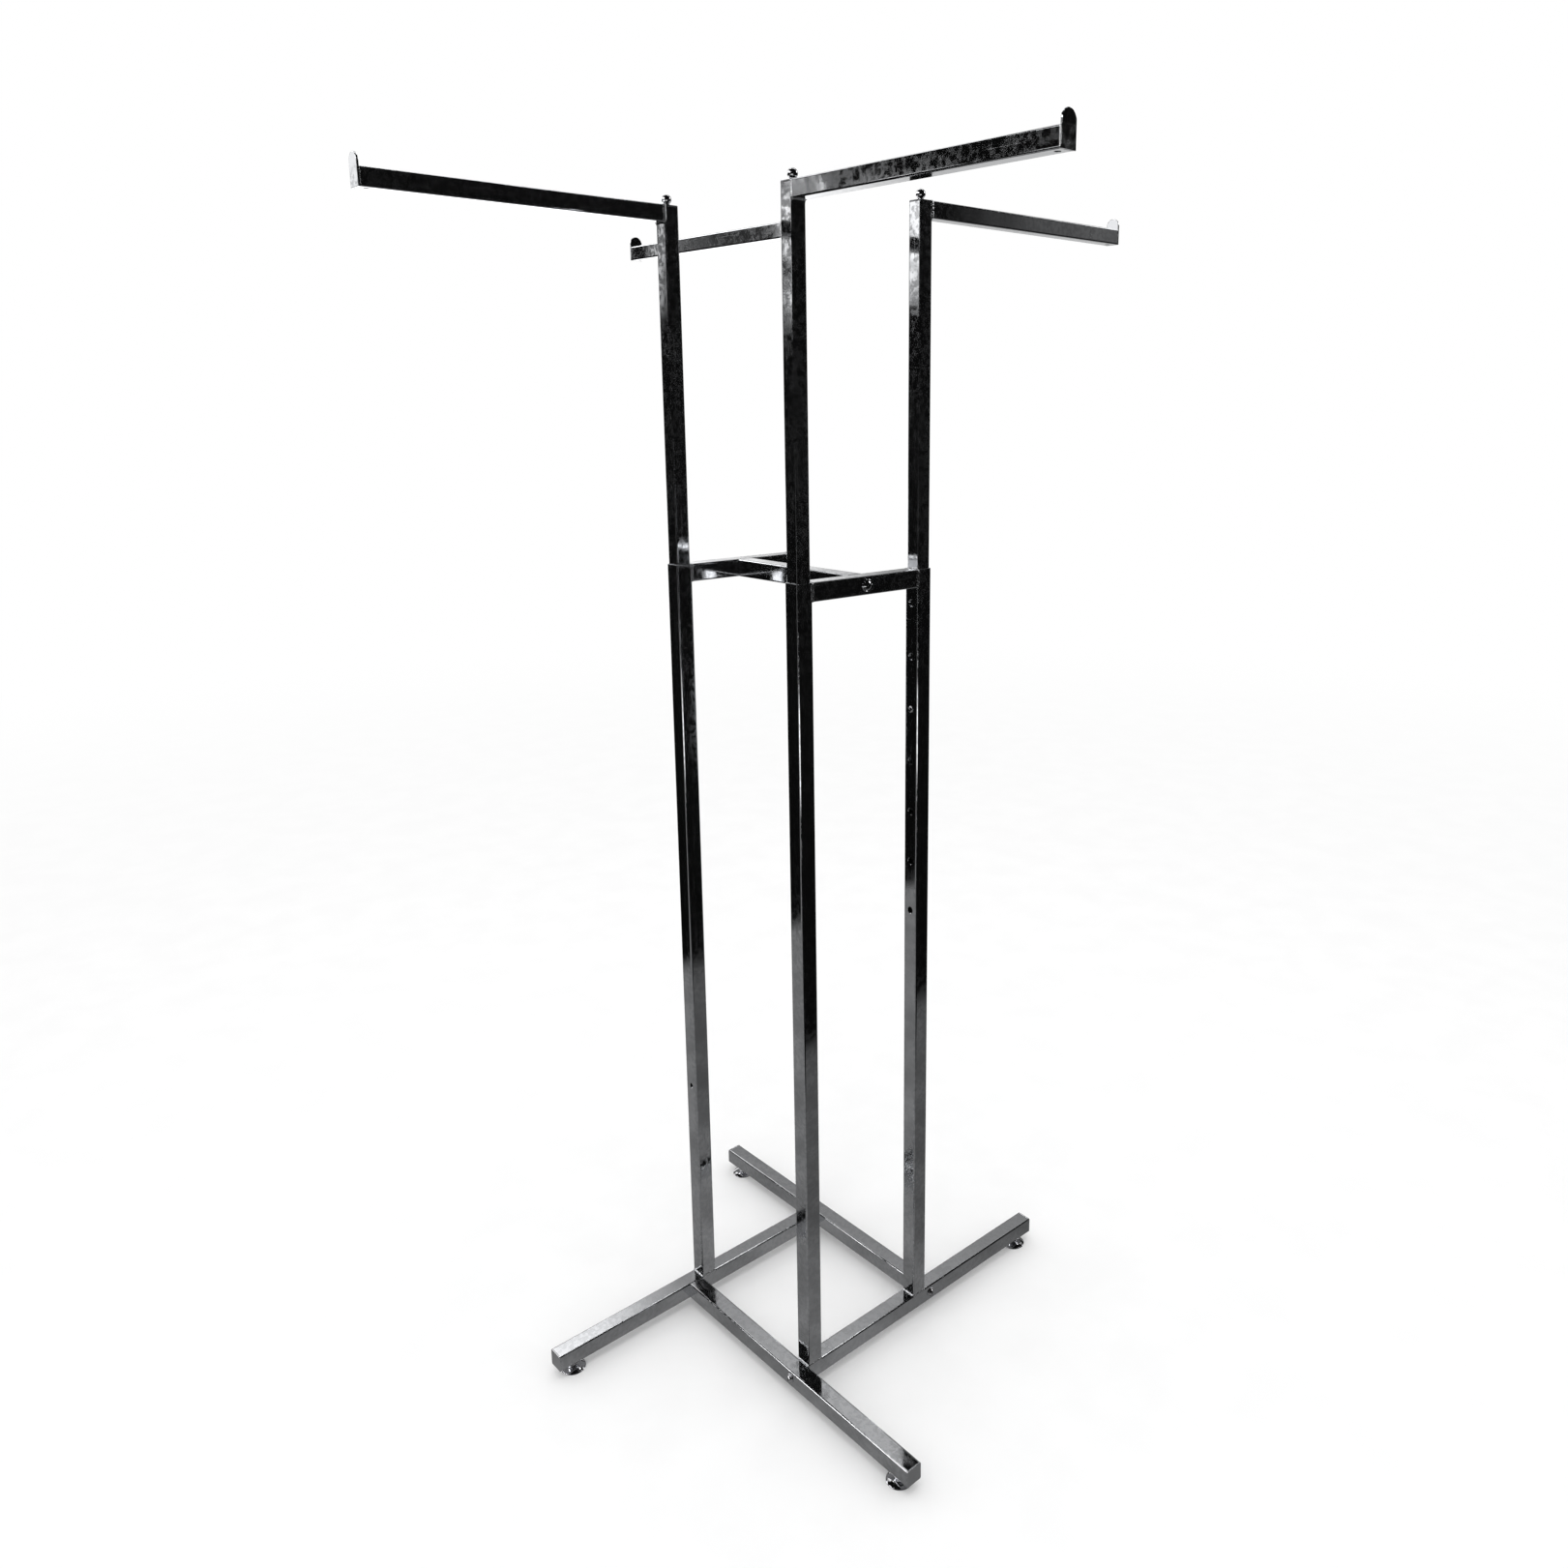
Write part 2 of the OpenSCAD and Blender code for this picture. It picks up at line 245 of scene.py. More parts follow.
def zinc(name):
    """Zinc plate: a milky spangle over a satin grey, with a little yellow passivation"""
    material = bpy.data.materials.new(name)
    t = Tree(material)
    cells = t.add("ShaderNodeTexVoronoi", {"Vector": t.stretched((1, 1, 1)), "Scale": 700})
    spangle = cells.outputs["Distance"]
    tone = t.noise(120, 4, 0.6)
    colour = t.blend(t.ramp(tone, 0.35, 0.7), (0.56, 0.56, 0.55), (0.68, 0.66, 0.58))
    colour = t.blend(t.ramp(spangle, 0.1, 0.6), colour, (0.48, 0.49, 0.5))
    rough = t.ramp(tone, 0.3, 0.7, 0.26, 0.42)
    t.metal(colour, rough, t.maths("ADD", spangle, t.noise(900, 3)), 0.00004)
    return material


def spring_strip(name):
    """Blued spring strip, rolled lengthways and lightly oiled"""
    material = bpy.data.materials.new(name)
    t = Tree(material)
    grain = t.noise(800, 3, 0.6, (1, 1, 0.05))
    oil = t.ramp(t.noise(60, 4), 0.45, 0.7)
    colour = t.blend(oil, (0.30, 0.31, 0.34), (0.17, 0.17, 0.20))
    rough = t.maths("ADD", t.ramp(grain, 0.3, 0.7, 0.22, 0.36), t.maths("MULTIPLY", oil, -0.08))
    t.metal(colour, rough, grain, 0.00003)
    return material


def weld(name):
    """Plated weld bead: the same chrome over rippled, pitted metal"""
    material = bpy.data.materials.new(name)
    t = Tree(material)
    ripple = t.noise(900, 3, 0.6)
    pits = t.ramp(t.noise(1900, 2), 0.6, 0.7)
    colour = t.blend(t.ramp(ripple, 0.35, 0.7), (0.80, 0.81, 0.83), (0.55, 0.55, 0.56))
    rough = t.maths("ADD", t.ramp(ripple, 0.3, 0.7, 0.10, 0.24), t.maths("MULTIPLY", pits, 0.2))
    t.metal(colour, rough, t.maths("SUBTRACT", ripple, t.maths("MULTIPLY", pits, 0.3)), 0.0002)
    return material


LOOKS = {
    "chrome_tube": chrome("chrome_tube", (0.80, 0.81, 0.83), (0.72, 0.73, 0.75), 0.045, 0.00045, 11, 0.0),
    "chrome_plate": chrome("chrome_plate", (0.82, 0.83, 0.85), (0.74, 0.75, 0.77), 0.06, 0.0003, 40, 1.5),
    "chrome_turned": chrome("chrome_turned", (0.80, 0.80, 0.82), (0.70, 0.70, 0.72), 0.05, 0.0001, 90, 3.0),
    "zinc_steel": zinc("zinc_steel"),
    "spring_steel": spring_strip("spring_steel"),
}
WELD = weld("weld_chromed")


# ---- meshes ----
def rounded_square(side, corner, steps=8, hold=0.4 * MM):
    """Outline of a rounded square. A point just short of each corner keeps the flats flat in shading."""
    half = side / 2 - corner
    points = []
    for quarter in range(4):
        turn = math.radians(90 * quarter)
        cx, cy = half * (1 if quarter in (0, 3) else -1), half * (1 if quarter < 2 else -1)
        start = Vector((math.cos(turn), math.sin(turn)))
        side_in = Vector((start.y, -start.x)) * hold
        points.append(Vector((cx, cy)) + start * corner + side_in)
        for i in range(steps + 1):
            a = turn + math.pi / 2 * i / steps
            points.append(Vector((cx + corner * math.cos(a), cy + corner * math.sin(a))))
        end = Vector((-start.y, start.x))
        points.append(Vector((cx, cy)) + end * corner - start * hold)
    return points


def from_lists(name, verts, faces):
    mesh = bpy.data.meshes.new(name)
    mesh.from_pydata(verts, [], faces)
    mesh.update()
    obj = bpy.data.objects.new(name, mesh)
    bpy.context.scene.collection.objects.link(obj)
    return obj


def stack(name, rings, closed=False, capped=True):
    """Joins rings of equally many points. Closed joins the last ring to the first, as in a tube's wall."""
    count = len(rings[0])
    verts = [tuple(p) for ring in rings for p in ring]
    faces = []
    for r in range(len(rings) if closed else len(rings) - 1):
        a, b = r * count, (r + 1) % len(rings) * count
        for i in range(count):
            j = (i + 1) % count
            faces.append((a + i, a + j, b + j, b + i))
    if not closed and capped:
        faces.append(tuple(reversed(range(count))))
        faces.append(tuple((len(rings) - 1) * count + i for i in range(count)))
    return from_lists(name, verts, faces)


def at_height(points, z):
    return [(p[0], p[1], z) for p in points]


def square_tube(name, length, side, corner):
    """A square tube from z 0 up, with its sawn edges broken"""
    outer = rounded_square(side, corner)
    outer_end = rounded_square(side - 2 * RIM, corner - RIM)
    bore, bore_corner = side - 2 * WALL, corner - WALL
    inner = rounded_square(bore, bore_corner)
    inner_end = rounded_square(bore + RIM, bore_corner + RIM / 2)
    rings = [
        at_height(outer_end, 0), at_height(outer, RIM),
        at_height(outer, length - RIM), at_height(outer_end, length),
        at_height(inner_end, length), at_height(inner, length - RIM),
        at_height(inner, RIM), at_height(inner_end, 0),
    ]
    return stack(name, rings, closed=True)


def lathe(name, profile, steps=64):
    """Turns (radius, height) points about Z, from a first point to a last one that both lie on the axis"""
    verts = [(0, 0, profile[0][1]), (0, 0, profile[-1][1])]
    for r, z in profile[1:-1]:
        verts += [(r * math.cos(2 * math.pi * i / steps), r * math.sin(2 * math.pi * i / steps), z)
            for i in range(steps)]
    faces = []
    rings = len(profile) - 2
    for i in range(steps):
        j = (i + 1) % steps
        faces.append((0, 2 + j, 2 + i))
        top = 2 + (rings - 1) * steps
        faces.append((1, top + i, top + j))
        for r in range(rings - 1):
            a, b = 2 + r * steps, 2 + (r + 1) * steps
            faces.append((a + i, a + j, b + j, b + i))
    return from_lists(name, verts, faces)


def arc(cx, cz, r, a0, a1, steps=8):
    """Points of an arc in a lathe's profile, in degrees from +r towards +z"""
    return [(cx + r * math.cos(math.radians(a0 + (a1 - a0) * i / steps)),
        cz + r * math.sin(math.radians(a0 + (a1 - a0) * i / steps))) for i in range(steps + 1)]


def plate(name, outline, thickness, edge=RIM):
    """A stamped plate from z 0 up, with rounded edges"""
    def inset(amount):
        out = []
        for i, p in enumerate(outline):
            before, after = outline[i - 1], outline[(i + 1) % len(outline)]
            along = ((after - p).normalized() + (p - before).normalized()).normalized()
            out.append(p + Vector((-along.y, along.x)) * amount)
        return out
    turns = [(1 - math.sin(math.radians(a)), 1 - math.cos(math.radians(a))) for a in (0, 30, 60, 90)]
    low = [at_height(inset(edge * side), edge * rise) for side, rise in turns]
    high = [at_height(inset(edge * side), thickness - edge * rise) for side, rise in reversed(turns)]
    hold = inset(edge + 0.25 * MM)    # keeps the faces flat in shading
    return stack(name, [at_height(hold, 0)] + low + high + [at_height(hold, thickness)])


def punch(obj, holes, sides=40, rim=HOLE_RIM):
    """Cuts holes: each is (matrix whose +Z leaves the outer face at its origin, radius, depth)"""
    for place, radius, depth in holes:
        profile = [(0, -depth), (radius, -depth), (radius, -rim), (radius + 2 * rim, rim), (0, rim)]
        tool = lathe("punch", profile, sides)
        tool.matrix_world = place
        bpy.context.view_layer.update()
        cut = obj.modifiers.new("cut", "BOOLEAN")
        cut.operation, cut.solver, cut.object = "DIFFERENCE", "EXACT", tool
        graph = bpy.context.evaluated_depsgraph_get()
        mesh = bpy.data.meshes.new_from_object(obj.evaluated_get(graph))
        obj.modifiers.clear()
        obj.data = mesh
        bpy.data.objects.remove(tool)


def smooth(obj, angle=32):
    for polygon in obj.data.polygons:
        polygon.use_smooth = True
    obj.data.set_sharp_from_angle(angle=math.radians(angle))


def settle(obj, place, body, slot, material=None, stands_for=None, angle=32):
    """Puts a piece in place in the row frame, gives it its look, and has it ride on its body"""
    obj.data.transform(place)
    smooth(obj, angle)
    obj.data.materials.clear()
    obj.data.materials.append(material or LOOKS[slot])
    if stands_for:
        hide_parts(stands_for)
    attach(obj, body)
    return obj


def even(points, step):
    """The same closed outline with points about one step apart, each with its outward direction"""
    out = []
    for i, p in enumerate(points):
        q = points[(i + 1) % len(points)]
        count = max(1, round((q - p).length / step))
        for n in range(count):
            out.append(p.lerp(q, n / count))
    along = [(out[(i + 1) % len(out)] - out[i - 1]).normalized() for i in range(len(out))]
    return [(p, Vector((a.y, -a.x))) for p, a in zip(out, along)]


def bead(name, side, corner, half_width, rise, seed):
    """A weld bead laid round a square tube's end: overlapping ripples with an uneven edge"""
    rng = random.Random(seed)
    waves = [(n, rng.uniform(0, 2 * math.pi)) for n in (3, 7, 12, 19)]
    path = even(rounded_square(side, corner, 6, 0.2 * MM), 0.3 * MM)
    ripples = round(len(path) / 6)
    rings = []
    for i, (p, out) in enumerate(path):
        turn = 2 * math.pi * i / len(path)
        uneven = sum(math.sin(n * turn + phase) for n, phase in waves) / 4
        coin = abs(math.sin(ripples * turn / 2))
        wide = half_width * (0.9 + 0.14 * uneven + 0.08 * coin)
        high = rise * (0.8 + 0.12 * uneven + 0.2 * coin)
        round_turns = [2 * math.pi * n / 12 for n in range(12)]
        rings.append([
            (p.x + out.x * high * math.cos(a), p.y + out.y * high * math.cos(a), -wide * math.sin(a))
            for a in round_turns])
    return stack(name, rings, closed=True)


# ---- base: tubes, end plates, bolts and welds ----
TUBE_START, TUBE_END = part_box("base_tube_b")[0].x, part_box("base_tube_b")[1].x
CAP_T = span("leg_end_cap_b").x
FOOT_X = middle("foot_pad_b").x
BOLT_R = 3.0 * MM
BASE_HEAD = (7.0 * MM, 4.5 * MM)
BAR_BOLT_R = 4.0 * MM
BAR_HEAD = (8.75 * MM, 4.0 * MM)
BOLT_LEN = TUBE + 8 * MM


def bolt(name, radius, head, socket_r):
    """A round-headed bolt with a rolled rim and a hexagon socket. Its head sits on z 0 and points up."""
    head_r, head_h = head
    rim = 0.8 * MM
    inner = head_r - 2.2 * rim
    crown_low = rim * 1.2
    dome = (inner ** 2 + (head_h - crown_low) ** 2) / (2 * (head_h - crown_low))
    start = math.degrees(math.acos(inner / dome))
    profile = [(0, -BOLT_LEN), (radius - 0.6 * MM, -BOLT_LEN), (radius, 0.6 * MM - BOLT_LEN), (radius, 0)]
    profile += arc(head_r - rim, rim, rim, -90, 110, 10)
    profile += arc(0, head_h - dome, dome, start, 87, 16) + [(0, head_h)]
    piece = lathe(name, profile, 72)
    punch(piece, [(shift(0, 0, head_h), socket_r, head_h * 0.6)], 6, 0.15 * MM)
    return piece


for k in CORNERS:
    leg = heading(k) @ shift(0, -LEG_LINE, BASE_Z)
    tube = square_tube(f"base_tube_{k}_polished", TUBE_END - TUBE_START, TUBE, TUBE_CORNER)
    tube.data.transform(shift(TUBE_START, 0, 0) @ ALONG_X)
    punch(tube, [
        (shift(LEG_LINE, -TUBE / 2, 0) @ spin(90, "X"), BOLT_R + 0.3 * MM, 3 * MM),
        (shift(LEG_LINE, TUBE / 2, 0) @ spin(-90, "X"), BOLT_R + 0.3 * MM, 3 * MM),
        (shift(FOOT_X, 0, -TUBE / 2) @ spin(180, "X"), FOOT_HOLE_R, 3 * MM)])
    settle(tube, leg, "root", "chrome_tube", stands_for=f"base_tube_{k}")
    cap = plate(f"leg_end_cap_{k}_pressed", rounded_square(TUBE, TUBE_CORNER), CAP_T)
    settle(cap, leg @ shift(TUBE_END, 0, 0) @ ALONG_X, "root", "chrome_plate", stands_for=f"leg_end_cap_{k}")
    screw = bolt(f"base_bolt_{k}", BOLT_R, BASE_HEAD, 2.0 * MM)
    settle(screw, leg @ shift(LEG_LINE, -TUBE / 2, 0) @ spin(90, "X"), "root", "chrome_turned",
        stands_for="base_bolts")
    foot_weld = bead(f"post_{k}_foot_weld", TUBE, TUBE_CORNER, 2.2 * MM, 0.7 * MM, 11 + CORNERS.index(k))
    settle(foot_weld, post_at(k) @ shift(0, 0, BASE_TOP), "root", "chrome_tube", WELD)

# ---- feet: glides and threaded stems ----
PAD_R = span("foot_pad_b").x / 2
PAD_H = span("foot_pad_b").z
PAD_EDGE = 1.5 * MM
STEM_R = 4 * MM
STEM_HEAD = (6 * MM, 2.8 * MM)
STEM_LOW, STEM_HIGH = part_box("foot_stem_b")[0].z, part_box("foot_stem_b")[1].z
GAP = 0.1 * MM


def glide(name):
    """A round glide: thin rolled rim, low dome, collar and the socket for the stem's head"""
    shoulder = (8 * MM, 6 * MM)
    edge_far, shoulder_far = PAD_R ** 2 + PAD_EDGE ** 2, shoulder[0] ** 2 + shoulder[1] ** 2
    centre = (edge_far - shoulder_far) / (2 * (PAD_EDGE - shoulder[1]))
    dome = math.hypot(shoulder[0], shoulder[1] - centre)
    low = math.degrees(math.atan2(PAD_EDGE - centre, PAD_R)) + 1.6
    high = math.degrees(math.atan2(shoulder[1] - centre, shoulder[0]))
    edge = 0.6 * MM
    head_r, head_h = STEM_HEAD
    profile = [(0, 0)] + arc(PAD_R - edge, edge, edge, -90, 0, 6) + [(PAD_R, PAD_EDGE - 0.5 * MM)]
    profile += arc(PAD_R - 0.5 * MM, PAD_EDGE - 0.5 * MM, 0.5 * MM, 10, 90, 5)
    profile += [(PAD_R - 0.9 * MM, PAD_EDGE - 0.15 * MM)] + arc(0, centre, dome, low, high, 20)
    profile += arc(PAD_NECK_R + 0.9 * MM, shoulder[1] + 1.1 * MM, 0.9 * MM, 250, 180, 5)
    profile += arc(PAD_NECK_R - 0.4 * MM, PAD_H - 0.4 * MM, 0.4 * MM, 0, 90, 4)
    profile += [(STEM_R + GAP + 0.3 * MM, PAD_H), (STEM_R + GAP, PAD_H - 0.3 * MM)]
    profile += [(STEM_R + GAP, SOCKET_Z + head_h + 2 * GAP), (head_r + GAP, SOCKET_Z + head_h + 2 * GAP)]
    profile += [(head_r + GAP, SOCKET_Z), (0, SOCKET_Z)]
    return lathe(name, profile, 96)


def threaded(name, low, high, radius, pitch, depth, steps=28):
    """A rod with a real helical thread, chamfered at its top"""
    rings = []
    count = round((high - low) / (pitch / 8))
    for n in range(count + 1):
        z = low + (high - low) * n / count
        ring = []
        for i in range(steps):
            phase = (z / pitch - i / steps) % 1
            r = radius - depth * (1 - abs(2 * phase - 1))
            r = min(r, radius - 0.9 * MM + (high - z))
            a = 2 * math.pi * i / steps
            ring.append((r * math.cos(a), r * math.sin(a), z))
        rings.append(ring)
    return stack(name, rings)


for k in CORNERS:
    foot = heading(k) @ shift(FOOT_X, -LEG_LINE, 0)
    settle(glide(f"foot_pad_{k}_glide"), foot, f"foot_{k}", "chrome_turned", stands_for=f"foot_pad_{k}")
    rod = threaded(f"foot_stem_{k}_thread", STEM_LOW, STEM_HIGH, STEM_R, THREAD_PITCH, 0.65 * MM)
    settle(rod, foot, f"stem_{k}", "zinc_steel", stands_for=f"foot_stem_{k}", angle=75)
    head_r, head_h = STEM_HEAD
    button = lathe(f"foot_stem_{k}_head", [(0, STEM_LOW), (head_r - RIM, STEM_LOW), (head_r, STEM_LOW + RIM),
        (head_r, STEM_LOW + head_h - RIM), (head_r - RIM, STEM_LOW + head_h), (0, STEM_LOW + head_h)], 48)
    settle(button, foot, f"stem_{k}", "zinc_steel", stands_for=f"foot_stem_{k}")
    sixths = [math.pi / 3 * n for n in range(6)]
    hexagon = [Vector((6 * MM * math.cos(a), 6 * MM * math.sin(a))) for a in sixths]
    nut = plate(f"foot_stem_{k}_shoulder", hexagon, FOOT_GAP - GAP - (PAD_H + GAP), 0.4 * MM)
    settle(nut, foot @ shift(0, 0, PAD_H + GAP), f"stem_{k}", "zinc_steel", stands_for=f"foot_stem_{k}")

# ---- posts, rails and crossbar ----
POST_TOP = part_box("post_a")[1].z
for k in CORNERS:
    place = post_at(k)
    tube = square_tube(f"post_{k}_polished", POST_TOP - BASE_TOP, TUBE, TUBE_CORNER)
    tube.data.transform(shift(0, 0, BASE_TOP))
    holes = []
    for n in range(HOLES_DOWN):
        hole = facing(k) @ shift(TUBE / 2, 0, TOP_HOLE_Z - n * HOLE_PITCH) @ spin(90, "Y")
        holes.append((hole, POST_HOLE_R, 3 * MM))
    if k in "ac":
        holes.append((heading(k) @ shift(TUBE / 2, 0, POST_DRAIN_Z) @ spin(90, "Y"), DRAIN_R, 3 * MM))
    punch(tube, holes)
    settle(tube, place, "root", "chrome_tube", stands_for=f"post_{k}")

for node, side in (("mid_rail_bc", 1), ("mid_rail_da", -1)):
    half = span(node).y / 2
    rail = square_tube(f"{node}_polished", 2 * half, TUBE, TUBE_CORNER)
    rail.data.transform(shift(0, 0, -half))
    punch(rail, [(shift(turn * TUBE / 2, 0, 0) @ spin(90 * turn, "Y"), BAR_BOLT_R + 0.3 * MM, 3 * MM)
        for turn in (-1, 1)])
    place = shift(side * LEG_LINE, 0, RAIL_Z) @ spin(-90, "X")
    settle(rail, place, "root", "chrome_tube", stands_for=node)
    for end, word in ((-1, "near"), (1, "far")):
        ring = bead(f"{node}_weld_{word}", TUBE, TUBE_CORNER, 2.6 * MM, 0.6 * MM, 31 + side + 5 * end)
        settle(ring, place @ shift(0, 0, end * half), "root", "chrome_tube", WELD)
    head = bolt(f"crossbar_bolt_{'bc' if side > 0 else 'da'}", BAR_BOLT_R, BAR_HEAD, 3.2 * MM)
    outside = shift(side * (LEG_LINE + TUBE / 2), 0, RAIL_Z) @ spin(90 * side, "Y")
    settle(head, outside, "root", "chrome_turned", stands_for="crossbar_bolts")

bar = square_tube("crossbar_polished", span("crossbar").x, TUBE, TUBE_CORNER)
settle(bar, shift(-span("crossbar").x / 2, 0, RAIL_Z) @ ALONG_X, "root", "chrome_tube", stands_for="crossbar")

# ---- uprights, arms, blades, caps, finials and buttons ----
UPRIGHT_LOW, UPRIGHT_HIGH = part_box("upright_a")[0].z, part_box("upright_a")[1].z
ARM_START, ARM_END = UPPER / 2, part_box("arm_b")[1].x - LEG_LINE
BLADE_T = span("arm_end_blade_b").x
BLADE_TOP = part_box("arm_end_blade_b")[1].z
ARM_MID = ARM_TOP - UPPER / 2
FLANGE_X, NOSE_X = (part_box("snap_button_a")[i].y + POST_Y for i in (0, 1))
FLANGE_R = span("snap_button_a").x / 2
NOSE_R = 4.5 * MM


def finial():
    """Stud, flared collar, short neck and ball, turned in one piece"""
    ball_r = (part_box("ball_finial_a")[1].z - ARM_TOP - 1.5 * MM) / 2
    centre = ARM_TOP + 1.5 * MM + ball_r
    stud_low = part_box("ball_finial_a")[0].z
    profile = [(0, stud_low), (2.1 * MM, stud_low), (2.5 * MM, stud_low + 0.4 * MM), (2.5 * MM, ARM_TOP)]
    profile += [(4.3 * MM, ARM_TOP)] + arc(4.1 * MM, ARM_TOP + 0.4 * MM, 0.4 * MM, -60, 90, 6)
    profile += arc(4.6 * MM, ARM_TOP + 1.9 * MM, 1.1 * MM, -100, -160, 5)
    low = -math.degrees(math.acos(3.7 * MM / ball_r))
    return profile + arc(0, centre, ball_r, low, 88, 30) + [(0, centre + ball_r)]


def nose():
    """A snap button's flange and domed nose, along Z"""
    r = 1.5 * MM
    flange = [(0, FLANGE_X), (FLANGE_R - RIM, FLANGE_X), (FLANGE_R, FLANGE_X + RIM),
        (FLANGE_R, FLANGE_X + 0.8 * MM), (FLANGE_R - RIM, FLANGE_X + 1 * MM), (NOSE_R, FLANGE_X + 1 * MM)]
    dome = arc(NOSE_R - r, NOSE_X - r - 0.25 * MM, r, 0, 75, 8)
    return flange + dome + [(1.5 * MM, NOSE_X - 0.08 * MM), (0, NOSE_X)]


def fillet(size, steps=10):
    """Outline of a hollow fillet weld in the inner corner of +X and -Y"""
    return [Vector((0, 0)), Vector((0, -size))] + [
        Vector((size - size * math.cos(a), size * math.sin(a) - size)) for a in (
        math.pi / 2 * n / steps for n in range(1, steps))] + [Vector((size, 0))]


for k in CORNERS:
    body = f"arm_frame_{k}"
    place = post_at(k)
    tube = square_tube(f"upright_{k}_polished", UPRIGHT_HIGH - UPRIGHT_LOW, UPPER, UPPER_CORNER)
    tube.data.transform(shift(0, 0, UPRIGHT_LOW))
    punch(tube, [(facing(k) @ shift(UPPER / 2, 0, BUTTON_Z) @ spin(90, "Y"), UPRIGHT_HOLE_R, 3 * MM)])
    settle(tube, place, body, "chrome_tube", stands_for=f"upright_{k}")
    reach = place @ shift(0, 0, ARM_MID) @ heading(k)
    arm = square_tube(f"arm_{k}_polished", ARM_END - ARM_START, UPPER, UPPER_CORNER)
    arm.data.transform(shift(ARM_START, 0, 0) @ ALONG_X)
    punch(arm, [(shift(ARM_END - ARM_DRAIN_INSET, 0, -UPPER / 2) @ spin(180, "X"), DRAIN_R, 3 * MM)])
    settle(arm, reach, body, "chrome_tube", stands_for=f"arm_{k}")
    ring = bead(f"arm_{k}_weld", UPPER, UPPER_CORNER, 2.8 * MM, 0.9 * MM, 51 + CORNERS.index(k))
    settle(ring, reach @ shift(ARM_START, 0, 0) @ ALONG_X, body, "chrome_tube", WELD)
    inner = plate(f"arm_{k}_inner_fillet", fillet(3.5 * MM), UPPER - 1.2 * MM, 0.4 * MM)
    under = reach @ shift(ARM_START - 0.2 * MM, UPPER / 2 - 0.6 * MM, 0.2 * MM - UPPER / 2)
    settle(inner, under @ spin(90, "X"), body, "chrome_tube", angle=40)
    round_r = UPPER / 2
    outline = [Vector((-round_r, -UPPER)), Vector((round_r, -UPPER))] + [
        Vector((round_r * math.cos(a), BLADE_TOP - ARM_TOP - round_r + round_r * math.sin(a)))
        for a in (math.pi * n / 32 for n in range(33))]
    blade = plate(f"arm_end_blade_{k}_pressed", outline, BLADE_T, 0.5 * MM)
    arm_tip = place @ shift(0, 0, ARM_TOP) @ heading(k) @ shift(ARM_END, 0, 0) @ ALONG_X
    settle(blade, arm_tip, body, "chrome_plate", stands_for=f"arm_end_blade_{k}")
    tip = bead(f"arm_end_blade_{k}_weld", UPPER - 0.3 * MM, UPPER_CORNER, 0.8 * MM, 0.35 * MM,
        71 + CORNERS.index(k))
    settle(tip, reach @ shift(ARM_END, 0, 0) @ ALONG_X, body, "chrome_tube", WELD)
    lid = plate(f"top_cap_{k}_pressed", rounded_square(UPPER, UPPER_CORNER), ARM_TOP - UPRIGHT_HIGH)
    punch(lid, [(shift(0, 0, ARM_TOP - UPRIGHT_HIGH), 2.58 * MM, 5 * MM)])
    settle(lid, place @ shift(0, 0, UPRIGHT_HIGH), body, "chrome_plate", stands_for=f"top_cap_{k}")
    ball = lathe(f"ball_finial_{k}_turned", finial(), 72)
    settle(ball, place, body, "chrome_turned", stands_for=f"ball_finial_{k}")
    knob = lathe(f"snap_button_{k}_nose", nose(), 56)
    settle(knob, place @ shift(0, 0, BUTTON_Z) @ facing(k) @ ALONG_X, f"button_{k}", "chrome_turned",
        stands_for=f"snap_button_{k}")

# ---- carried-over CAD nodes: the nuts and springs inside the tubes ----
HIDDEN = [(f"{place}_nuts", "zinc_steel") for place in ("base_end", "foot", "crossbar_end")]
HIDDEN += [(f"button_spring_{k}", "spring_steel") for k in CORNERS]
for name, slot in HIDDEN:
    node = frame["nodes"][name]
    node.data.materials.clear()
    node.data.materials.append(LOOKS[slot])


# ---- studio ----
AWAY = 136.6    # degrees: the direction from the camera to behind the rack, from +X towards +Y
DARK = 0.003    # what reflections see where nothing is lit
LAMP = 4.0      # how bright the lamps are in reflections


def turned(t, vector):
    """A vector's parts ahead, to the left and up, looking from the camera to behind the rack"""
    node = t.add("ShaderNodeVectorRotate", {"Vector": vector, "Angle": -math.radians(AWAY)},
        rotation_type="Z_AXIS")
    return t.parts(node.outputs[0])


